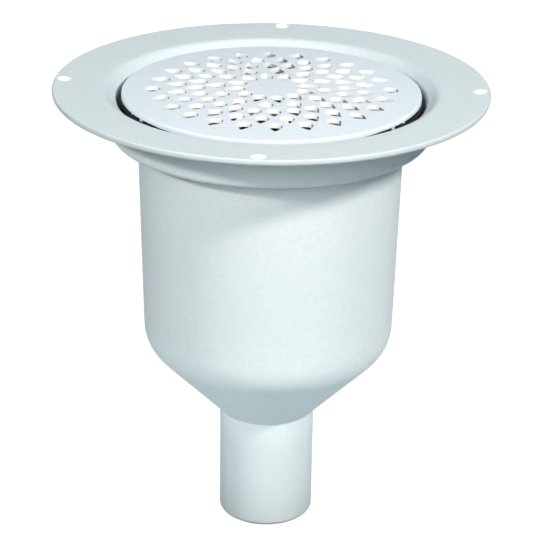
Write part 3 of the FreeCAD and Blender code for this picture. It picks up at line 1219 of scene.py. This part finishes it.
    def relieved(self, rim: np.ndarray, angles: np.ndarray, edge: float) -> np.ndarray:
        """Cut the underside of the edge back on both sides of the lugs.

        Near a lug the points are lifted in proportion to how far they lie outside the seat and
        below the edge's upper corner, so that a thinner edge is left there.

        Args:
            rim: grid of the edge, shape (rows, columns, 3).
            angles: angle of each column in radians.
            edge: height of the upper corner.

        Returns:
            The grid with the lifted points.
        """
        apart = np.degrees(angles)[:, None] - np.array(self.lug_angles)
        nearest = np.abs((apart + 180) % 360 - 180).min(axis=1)
        near = np.clip((self.relief_sweep - nearest) / self.relief_fade, 0, 1)
        outside = (np.hypot(rim[..., 0], rim[..., 1]) - self.radius + self.undercut) / self.undercut
        below = (edge - rim[..., 2]) / (edge + self.seat_depth)
        lift = self.relief * near * np.clip(outside, 0, 1) * np.clip(below, 0, 1)
        return rim + lift[..., None] * np.array([0.0, 0.0, 1.0])

    def ribs(self) -> list[Surface]:
        """Make the ring rib and the radial ribs under the plate.

        The ring rib is a rounded section turned about the axis.  A radial rib is a rounded section
        carried outwards along a line and stretched up to the plate.

        Returns:
            The ring rib, and all the radial ribs.
        """
        low = -(self.seat_depth + self.rib_drop)
        high = self.bottom(0.0) + self.rib_overlap
        ring = box_section((self.rib_ring - self.rib_width, low), (self.rib_ring, high), self.ring_rib_round)
        ring = np.concatenate([ring, ring[:1]])
        ring_rib = turned(ring, full_turn(self.rib_sides, self.clock))
        half = self.rib_width / 2
        reach = np.linspace(self.rib_ring - half, self.skirt_radius - self.skirt_wall / 2, self.rib_rows)
        roof = self.bottom(reach) + self.rib_overlap
        section = box_section((-half, 0.0), (half, 1.0), self.rib_round)
        beside = np.broadcast_to(section[:, 0], (len(reach), len(section)))
        height = low + section[:, 1] * (roof - low)[:, None]
        along = np.broadcast_to(reach[:, None], beside.shape)
        rib = capped(np.stack([along, beside, height], axis=-1))
        angles = full_turn(self.rib_count, self.clock + 180 / self.outer_count)
        return [Surface.from_grid(grid, wrap=True) for grid in (ring_rib, turn_copies(rib, angles))]

    def lugs(self) -> Surface:
        """Make the three pairs of lugs under the edge: a rounded section carried along short arcs.

        Returns:
            All the lugs.
        """
        outer = self.radius - self.lug_inset
        low = -(self.seat_depth + self.lug_drop)
        high = self.lug_overlap - self.seat_depth
        section = box_section((outer - self.lug_width, low), (outer, high), self.lug_round)
        gap = math.degrees(2 * math.asin(self.lug_slot / 2 / outer))
        arc = np.radians(np.linspace(gap / 2, self.lug_sweep / 2, self.lug_rows))
        lug = capped(np.swapaxes(turned(section, arc), 0, 1))
        mirrored = lug * np.array([1.0, -1.0, 1.0])
        angles = np.radians(self.lug_angles)
        copies = np.concatenate([turn_copies(lug, angles), turn_copies(mirrored, angles)])
        return Surface.from_grid(copies, wrap=True)

    def mark_shaded_side(self, piece: bpy.types.Object) -> None:
        """Store how squarely each point faces away from one side; hole walls that do get painted shade.

        Args:
            piece: the grate's mesh object.
        """
        normals = np.empty(3 * len(piece.data.vertices), dtype=np.float32)
        piece.data.vertex_normals.foreach_get("vector", normals)
        side = math.radians(self.painted_shade_side)
        away = np.array([-math.cos(side), -math.sin(side), 0.0], dtype=np.float32)
        facing = normals.reshape(-1, 3) @ away
        piece.data.attributes.new(SHADE_SIDE, "FLOAT", "POINT").data.foreach_set("value", facing)

    def finish(self) -> GratePlastic:
        """Return the plastic, marked where this grate has its crowned face."""
        return GratePlastic(self.radius, self.crown_depth, self.crown_fall)

    def build(self) -> bpy.types.Object:
        """Build and dress the grate in place of its plain solid.

        Returns:
            The piece.
        """
        parts = self.perforated() + self.centre_and_rim() + self.ribs() + [self.lugs()]
        piece = Surface.joined(parts).to_object("grate_moulding")
        self.mark_shaded_side(piece)
        return dress(piece, self.finish().material(), "grate")


@dataclass
class WaterTrap:
    """The trap under the grate, whose solids are shown as they are."""

    plastic: DarkPlastic = DarkPlastic()
    rubber: SealRubber = SealRubber()

    def build(self) -> list[bpy.types.Object]:
        """Give the trap's solids their finishes.

        Returns:
            The dressed pieces.
        """
        plastic, rubber = self.plastic.material(), self.rubber.material()
        finishes = {"trap_insert": plastic, "trap_cup": plastic, "trap_seal": rubber}
        for name, material in finishes.items():
            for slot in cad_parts[name].material_slots:
                slot.material = material
        return [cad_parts[name] for name in finishes]


# Studio


@dataclass(frozen=True)
class Softbox:
    """A square lamp that points at the drain.

    The turn is its compass angle about the drain's axis and the rise its angle above level, in
    degrees.  The level is the brightness that it gives a white surface facing it.  Away from its
    axis the light fades to nothing at half the spread.
    """

    name: str
    turn: float
    rise: float
    width: float
    level: float
    tint: Colour
    distance: float = 1400.0
    spread: float = 180.0

    def build(self, target: Vector) -> None:
        """Add the lamp.

        Its power is the level times the square of pi times the distance.  With a narrower spread
        the same power is brighter on the axis, which the last factor makes up for.

        Args:
            target: the point it faces, in metres.
        """
        lamp = bpy.data.lights.new(self.name, "AREA")
        lamp.shape = "SQUARE"
        lamp.size = self.width * MM
        lamp.color = self.tint
        half = math.radians(self.spread / 2)
        lamp.spread = 2 * half
        lamp.energy = self.level * (math.pi * self.distance * MM) ** 2 * (1 - half / math.tan(half))
        turn, rise = math.radians(self.turn), math.radians(self.rise)
        way = Vector((math.cos(rise) * math.cos(turn), math.cos(rise) * math.sin(turn), math.sin(rise)))
        holder = bpy.data.objects.new(self.name, lamp)
        holder.location = target + way * self.distance * MM
        holder.rotation_euler = way.to_track_quat("Z", "Y").to_euler()
        bpy.context.scene.collection.objects.link(holder)


@dataclass(frozen=True)
class FloorPaint:
    """Matt floor that is seen white, but for the drain's shadow.

    The light that it throws back on the drain comes from a pale ring: the floor is dark under the
    drain and dark again further away.
    """

    under: Colour = (0.06, 0.08, 0.085)
    ring: Colour = (0.82, 0.95, 0.97)
    far: Colour = (0.06, 0.07, 0.075)
    seen: Colour = (0.2, 0.2, 0.2)
    glow: float = 0.93
    under_end: float = 42.0
    ring_start: float = 88.0
    ring_end: float = 130.0
    far_start: float = 340.0

    def material(self) -> bpy.types.Material:
        """Make the material.

        Returns:
            The material.
        """
        made = bpy.data.materials.new("studio_floor_white")
        tree = ShaderTree(made)
        x, y, _ = tree.axes(tree.place())
        reach = (x * x + y * y).root()
        near = tree.blend(reach.ramp(self.under_end * MM, self.ring_start * MM), self.under, self.ring)
        paint = tree.blend(reach.ramp(self.ring_end * MM, self.far_start * MM), near, self.far)
        matt = {"Base Color": paint, "Roughness": 1.0, "Specular IOR Level": 0.0}
        plain = tree.node("ShaderNodeBsdfPrincipled", inputs=matt)
        shown = tree.node("ShaderNodeBsdfDiffuse", inputs={"Color": (*self.seen, 1.0)})
        glow = tree.node("ShaderNodeEmission", inputs={"Color": (*WHITE, 1.0), "Strength": self.glow})
        white = tree.node("ShaderNodeAddShader", inputs={0: shown, 1: glow})
        tree.output(tree.node("ShaderNodeMixShader", inputs={0: tree.seen_directly(), 1: plain, 2: white}))
        return made


@dataclass
class Studio:
    """Floor, soft lamps, pale surroundings and the camera."""

    floor_height: float
    floor_gap: float = 0.3
    floor_radius: float = 4000.0
    floor_sides: int = 96
    floor_paint: FloorPaint = FloorPaint()
    ambient: float = 0.12
    cool: Colour = (0.25, 1.0, 1.2)
    aim_height: float = -60.0
    lamps: tuple[Softbox, ...] = (
        Softbox("right_softbox", turn=-37.6, rise=38.6, width=130.0, level=0.82, tint=(1.0, 0.935, 0.91)),
        Softbox("left_softbox", turn=-132.3, rise=30.4, width=100.0, level=0.44, tint=(1.0, 0.935, 0.91)),
        Softbox(
            "front_softbox",
            turn=-90.0,
            rise=24.0,
            width=450.0,
            level=0.60,
            tint=(1.0, 0.945, 0.935),
            distance=1000.0,
            spread=70.0,
        ),
        Softbox("back_softbox", turn=90.0, rise=-2.0, width=200.0, level=0.42, tint=(1.0, 0.94, 0.92)),
    )
    camera_place: tuple[float, float, float] = (49.85, -977.87, 319.46)
    camera_yaw: float = 2.45
    camera_pitch: float = 23.755
    camera_roll: float = 1.066
    camera_lens: float = 135.833
    camera_sensor: float = 36.0
    camera_shift: tuple[float, float] = (-0.02566, 0.03296)

    def build(self) -> None:
        """Set up everything round the drain."""
        self.build_floor()
        self.build_world()
        self.build_camera()
        for lamp in self.lamps:
            lamp.build(Vector((0.0, 0.0, self.aim_height * MM)))
        bpy.context.scene.view_settings.view_transform = "Standard"

    def build_floor(self) -> None:
        """Add a round floor just below the drain's foot."""
        height = self.floor_height - self.floor_gap
        profile = np.array([[0.0, height], [self.floor_radius, height]])
        disc = Surface.from_grid(turned(profile, full_turn(self.floor_sides)), wrap=True)
        floor = disc.to_object("studio_floor")
        if floor.data.polygons[0].normal.z < 0:
            floor.data.flip_normals()
        floor.data.materials.append(self.floor_paint.material())

    def build_world(self) -> None:
        """Light the drain evenly from all round; what is seen of the surroundings is white."""
        world = bpy.data.worlds.new("studio_surroundings")
        bpy.context.scene.world = world
        tree = ShaderTree(world)
        cool = {"Color": (*self.cool, 1.0), "Strength": self.ambient}
        plain = tree.node("ShaderNodeBackground", inputs=cool)
        white = tree.node("ShaderNodeBackground", inputs={"Color": (*WHITE, 1.0), "Strength": 1.0})
        light = tree.node("ShaderNodeMixShader", inputs={0: tree.seen_directly(), 1: plain, 2: white})
        tree.output(light, "ShaderNodeOutputWorld")

    def build_camera(self) -> None:
        """Add the camera at the photograph's angle: turned, tipped down and rolled a little."""
        camera = bpy.data.cameras.new("photo_camera")
        camera.sensor_width = self.camera_sensor
        camera.lens = self.camera_lens
        camera.shift_x, camera.shift_y = self.camera_shift
        camera.clip_start, camera.clip_end = 0.05, 50.0
        yaw = Matrix.Rotation(math.radians(self.camera_yaw), 4, "Z")
        tip = Matrix.Rotation(math.radians(90 - self.camera_pitch), 4, "X")
        roll = Matrix.Rotation(math.radians(self.camera_roll), 4, "Z")
        holder = bpy.data.objects.new("photo_camera", camera)
        holder.matrix_world = Matrix.Translation(Vector(self.camera_place) * MM) @ yaw @ tip @ roll
        bpy.context.scene.collection.objects.link(holder)
        bpy.context.scene.camera = holder


def main() -> None:
    """Build every piece and the studio."""
    logging.basicConfig(level=logging.INFO, format="%(message)s")
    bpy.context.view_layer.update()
    body = DrainBody()
    pieces = [body.build(), Grate().build(), *WaterTrap().build()]
    for piece in pieces:
        LOG.info("%s: %d faces", piece.name, len(piece.data.polygons))
    Studio(floor_height=-body.outlet_depth).build()
    bpy.context.view_layer.update()


if __name__ == "__main__":
    main()
